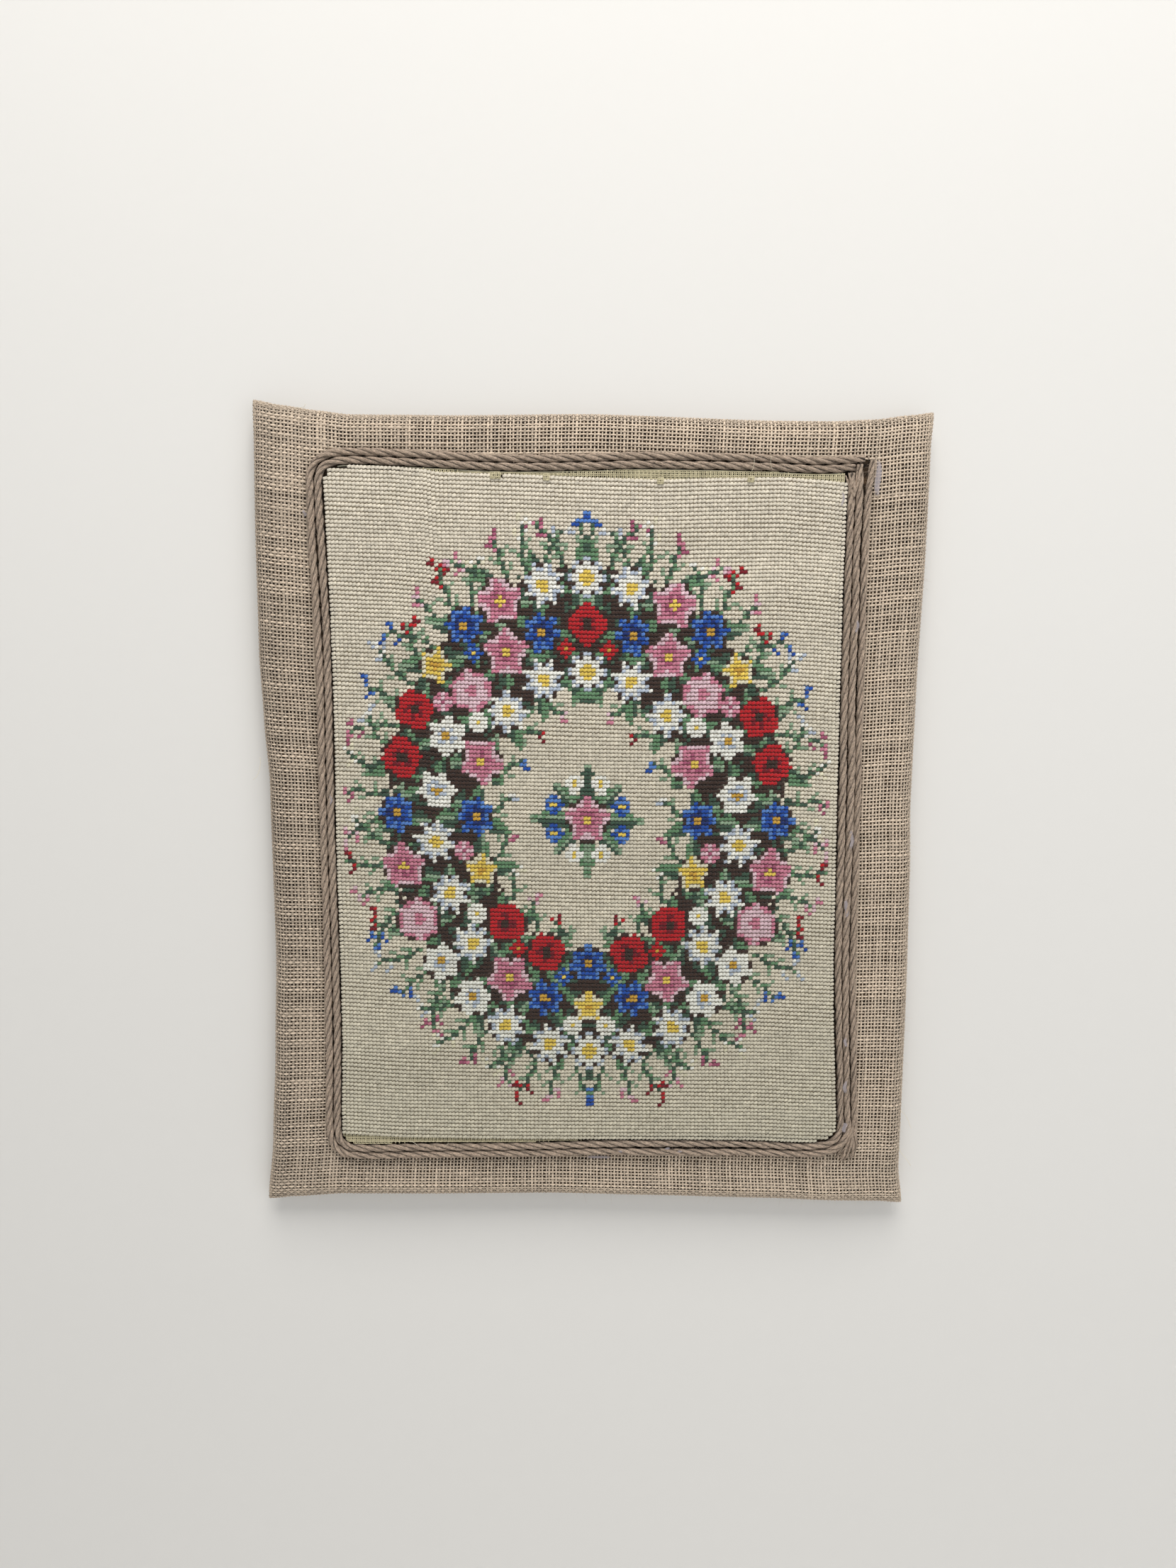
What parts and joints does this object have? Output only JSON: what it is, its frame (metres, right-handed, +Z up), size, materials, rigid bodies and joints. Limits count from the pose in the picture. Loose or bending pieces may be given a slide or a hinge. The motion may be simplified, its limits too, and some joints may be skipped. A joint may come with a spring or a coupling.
{
  "type": "needlepoint canvas panel",
  "caption": "Upright padded burlap wall panel carrying a rectangular needlepoint canvas framed by rounds of jute rope.",
  "frame": {"origin": "middle of the top edge, on the plane of the flat back", "axes": "+Z up, -Y out of the stitched front, +X to the right seen from the front"},
  "size_m": [0.4195, 0.0225, 0.5131],
  "materials": {
    "burlap": "matte",
    "canvas": "matte",
    "wool": "matte",
    "jute": "matte"
  },
  "bodies": {
    "root": {"burlap_panel": "burlap", "ground_canvas": "canvas", "stitched_field": "wool", "rope_inner": "jute", "rope_outer": "jute", "rope_side": "jute"}
  },
  "joints": []
}
